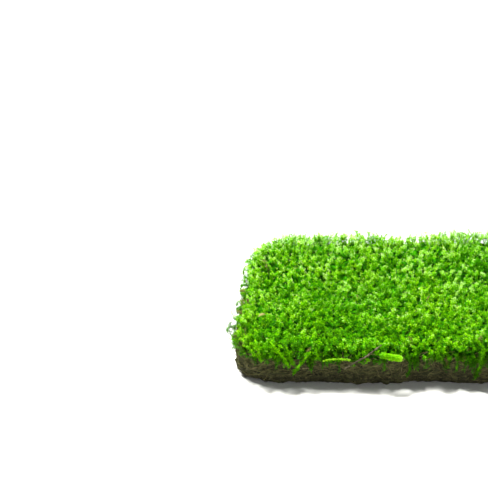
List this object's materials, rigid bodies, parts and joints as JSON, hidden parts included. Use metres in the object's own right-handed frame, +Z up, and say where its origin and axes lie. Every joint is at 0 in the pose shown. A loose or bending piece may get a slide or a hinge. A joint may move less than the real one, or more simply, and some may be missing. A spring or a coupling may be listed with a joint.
{
  "type": "moss clump",
  "caption": "Flat clump of living moss: a dense green carpet of feathery shoots on a torn mat of dark humus, with loose shoots, a creeping stem and a twig hanging over its front edge.",
  "frame": {"origin": "under the middle of the whole sheet, on the surface that it rests on", "axes": "+X along the front edge to the right, +Y from the front edge to the back, +Z up through the moss"},
  "size_m": [0.2056, 0.1479, 0.0363],
  "materials": {
    "humus": "matt, dark fibrous humus with fine tan rootlets",
    "green_moss": "moist living moss, bright yellow-green at the tips and dark green between them",
    "green_shoot": "leafy moss shoot, softly shining",
    "pale_stem": "pale yellow-green creeping stem",
    "bark": "dull grey-brown bark"
  },
  "bodies": {
    "root": {"humus_mat": "humus", "moss_carpet": "green_moss", "hanging_shoot_1": "green_shoot", "hanging_shoot_2": "green_shoot", "hanging_shoot_3": "green_shoot", "hanging_shoot_4": "green_shoot", "hanging_shoot_5": "green_shoot", "hanging_shoot_6": "green_shoot", "arching_shoot": "green_shoot", "fallen_shoot": "green_shoot", "creeping_stem": "pale_stem", "twig": "bark"}
  },
  "joints": []
}
